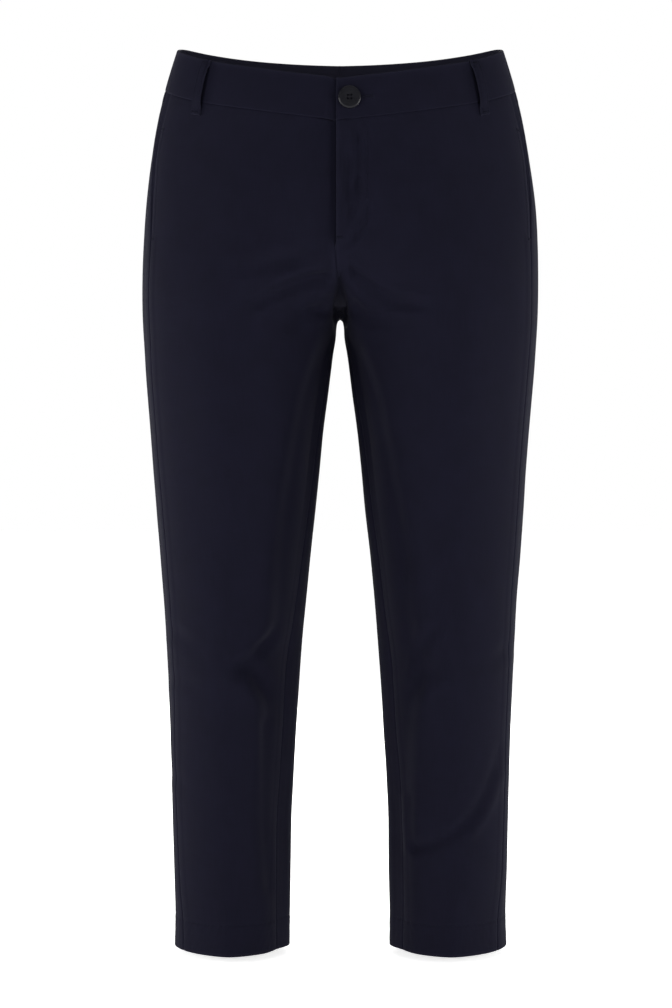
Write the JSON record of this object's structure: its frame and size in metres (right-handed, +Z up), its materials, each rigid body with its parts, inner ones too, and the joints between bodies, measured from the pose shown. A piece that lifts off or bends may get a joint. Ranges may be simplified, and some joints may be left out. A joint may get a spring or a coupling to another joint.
{
  "type": "capri pants",
  "caption": "Cropped trousers with a fly front, slant side pockets, belt loops and open hems, filled out and hollow.",
  "frame": {"origin": "middle of the waist opening, level with the band at the sides' mean height, where the wearer's waist holds it", "axes": "+Z up out of the waist, the front faces -Y and +X is the wearer's left"},
  "size_m": [0.3956, 0.2479, 0.9037],
  "materials": {
    "navy_twill": "matte",
    "zip_tape": "matte",
    "zip_metal": "satin",
    "dark_button": "satin"
  },
  "bodies": {
    "root": {"front_left": "navy_twill", "front_right": "navy_twill", "back_left": "navy_twill", "back_right": "navy_twill", "waistband_left": "navy_twill", "waistband_right": "navy_twill", "pocket_facing_left": "navy_twill", "pocket_facing_right": "navy_twill", "fly_facing": "navy_twill", "fly_shield": "navy_twill", "belt_loop_front_left": "navy_twill", "belt_loop_front_right": "navy_twill", "belt_loop_back_left": "navy_twill", "belt_loop_back_right": "navy_twill", "belt_loop_centre_back": "navy_twill", "zip": "zip_tape", "zip_slider": "zip_metal", "button": "dark_button"}
  },
  "joints": []
}
